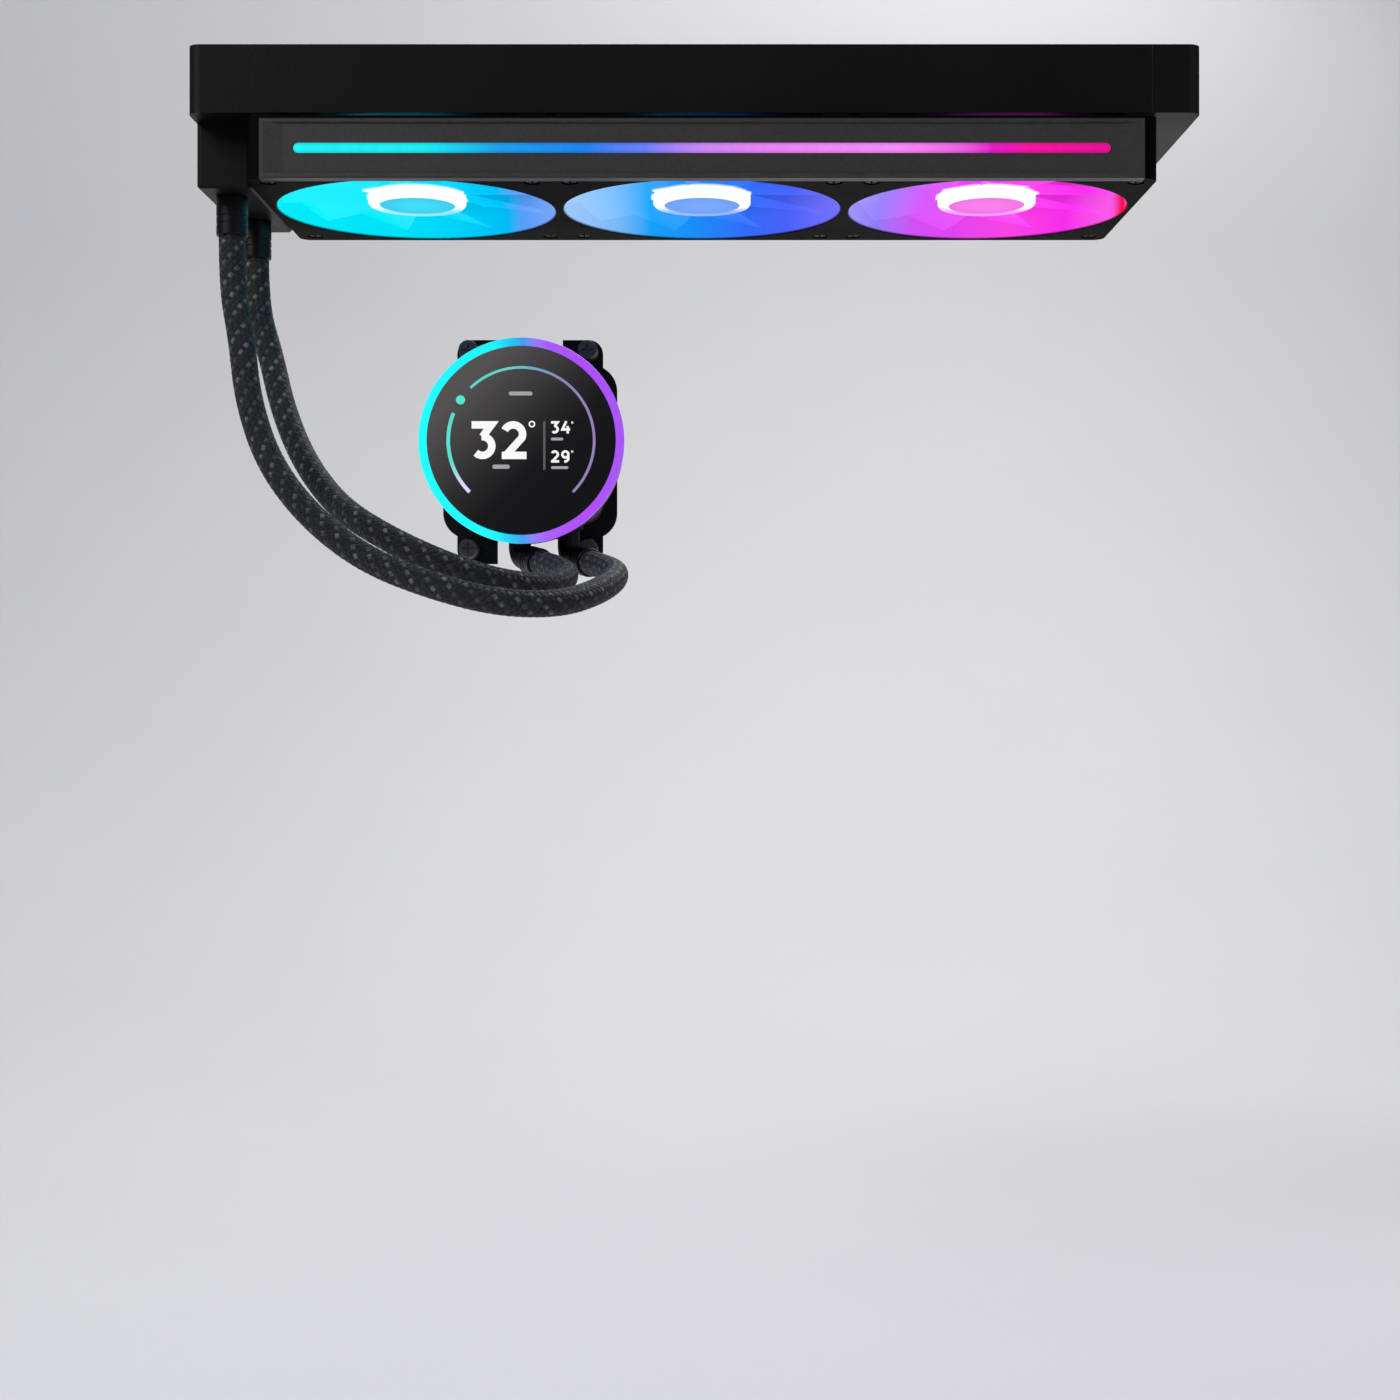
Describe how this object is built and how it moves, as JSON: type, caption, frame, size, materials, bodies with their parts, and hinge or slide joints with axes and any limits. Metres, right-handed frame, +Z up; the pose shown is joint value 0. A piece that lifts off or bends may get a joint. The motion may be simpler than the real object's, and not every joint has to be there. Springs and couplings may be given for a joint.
{
  "type": "liquid cooling radiator",
  "caption": "Closed-loop liquid cooler: slim radiator with a lit fan unit and light bar, braided hoses and a round pump head with a numeric display.",
  "frame": {"origin": "centre of the radiator's upper face, in the plane of its case screw holes", "axes": "+X along the radiator away from its hose ports, +Y from the light bar towards the processor, +Z up and out of the radiator's upper face"},
  "size_m": [0.402, 0.1733, 0.226],
  "materials": {
    "radiator_paint": "satin",
    "core_tube": "satin",
    "core_fin": "satin",
    "fitting_metal": "satin",
    "screw_steel": "satin",
    "frame_plastic": "matte",
    "pad_rubber": "matte",
    "bearing_brass": "satin",
    "circuit_board": "satin",
    "lamination_steel": "satin",
    "copper_wire": "gloss",
    "socket_plastic": "satin",
    "fan_1_glow": "frosted, lit from inside",
    "fan_2_glow": "frosted, lit from inside",
    "fan_3_glow": "frosted, lit from inside",
    "hub_cap_plastic": "smoky, lit from behind",
    "magnet_ferrite": "matte",
    "shaft_steel": "polished",
    "bar_plastic": "satin",
    "strip_diffuser": "milky, lit from inside",
    "lamp_white": "gloss",
    "display_glass": "polished",
    "display_panel": "gloss",
    "ring_glow": "milky, lit from inside",
    "pump_plastic": "satin",
    "impeller_plastic": "satin",
    "ceramic": "polished",
    "plate_copper": "machined",
    "bracket_steel": "satin",
    "spring_steel": "satin",
    "thumbscrew_metal": "satin",
    "elbow_metal": "satin",
    "collar_metal": "satin",
    "hose_braid": "braided"
  },
  "bodies": {
    "cooler": {"left_tank": "radiator_paint", "right_tank": "radiator_paint", "left_header_plate": "radiator_paint", "right_header_plate": "radiator_paint", "coolant_tubes": "core_tube", "radiator_fins": "core_fin", "front_side_plate": "radiator_paint", "back_side_plate": "radiator_paint", "port_block": "radiator_paint", "fill_plug": "screw_steel", "radiator_fittings": "fitting_metal", "fan_frame": "frame_plastic", "fan_pads": "pad_rubber", "fan_screws": "screw_steel", "fan_bearings": "bearing_brass", "fan_boards": "circuit_board", "fan_stators": "lamination_steel", "fan_coils": "copper_wire", "fan_cable_socket": "socket_plastic", "light_bar_housing": "bar_plastic", "light_bar_diffuser": "strip_diffuser", "light_bar_board": "circuit_board", "rgb_leds": "lamp_white", "display_glass": "display_glass", "light_ring": "ring_glow", "display_panel": "display_panel", "pump_shell": "pump_plastic", "pump_board": "circuit_board", "pump_stator": "lamination_steel", "pump_coils": "copper_wire", "pump_body": "pump_plastic", "pump_shaft": "ceramic", "pump_cable_socket": "socket_plastic", "cold_plate": "plate_copper", "cold_plate_gasket": "pad_rubber", "cold_plate_screws": "screw_steel", "pump_bracket": "bracket_steel", "bracket_springs": "spring_steel", "supply_elbow": "elbow_metal", "return_elbow": "elbow_metal", "hose_collars": "collar_metal", "supply_hose": "hose_braid", "return_hose": "hose_braid"},
    "fan_1_rotor": {"fan_1_blades": "fan_1_glow", "fan_1_hub_cap": "hub_cap_plastic", "fan_1_magnet_ring": "magnet_ferrite", "fan_1_shaft": "shaft_steel"},
    "fan_2_rotor": {"fan_2_blades": "fan_2_glow", "fan_2_hub_cap": "hub_cap_plastic", "fan_2_magnet_ring": "magnet_ferrite", "fan_2_shaft": "shaft_steel"},
    "fan_3_rotor": {"fan_3_blades": "fan_3_glow", "fan_3_hub_cap": "hub_cap_plastic", "fan_3_magnet_ring": "magnet_ferrite", "fan_3_shaft": "shaft_steel"},
    "thumbscrew_1": {"thumbscrew_1": "thumbscrew_metal"},
    "thumbscrew_2": {"thumbscrew_2": "thumbscrew_metal"},
    "thumbscrew_3": {"thumbscrew_3": "thumbscrew_metal"},
    "thumbscrew_4": {"thumbscrew_4": "thumbscrew_metal"},
    "pump_rotor": {"pump_impeller": "impeller_plastic"}
  },
  "joints": [
    {"name": "fan_1_spin", "type": "hinge", "parent": "cooler", "child": "fan_1_rotor", "pos_m": [-0.12, 0, -0.04], "axis": [0, 0, 1], "continuous": true},
    {"name": "fan_2_spin", "type": "hinge", "parent": "cooler", "child": "fan_2_rotor", "pos_m": [0, 0, -0.04], "axis": [0, 0, 1], "continuous": true},
    {"name": "fan_3_spin", "type": "hinge", "parent": "cooler", "child": "fan_3_rotor", "pos_m": [0.12, 0, -0.04], "axis": [0, 0, 1], "continuous": true},
    {"name": "pump_spin", "type": "hinge", "parent": "cooler", "child": "pump_rotor", "pos_m": [-0.079, 0.055, -0.146], "axis": [0, 1, 0], "continuous": true},
    {"name": "thumbscrew_1_turn", "type": "hinge", "parent": "cooler", "child": "thumbscrew_1", "pos_m": [-0.106, 0.08, -0.191], "axis": [0, 1, 0], "continuous": true},
    {"name": "thumbscrew_2_turn", "type": "hinge", "parent": "cooler", "child": "thumbscrew_2", "pos_m": [-0.106, 0.08, -0.101], "axis": [0, 1, 0], "continuous": true},
    {"name": "thumbscrew_3_turn", "type": "hinge", "parent": "cooler", "child": "thumbscrew_3", "pos_m": [-0.052, 0.08, -0.191], "axis": [0, 1, 0], "continuous": true},
    {"name": "thumbscrew_4_turn", "type": "hinge", "parent": "cooler", "child": "thumbscrew_4", "pos_m": [-0.052, 0.08, -0.101], "axis": [0, 1, 0], "continuous": true}
  ]
}
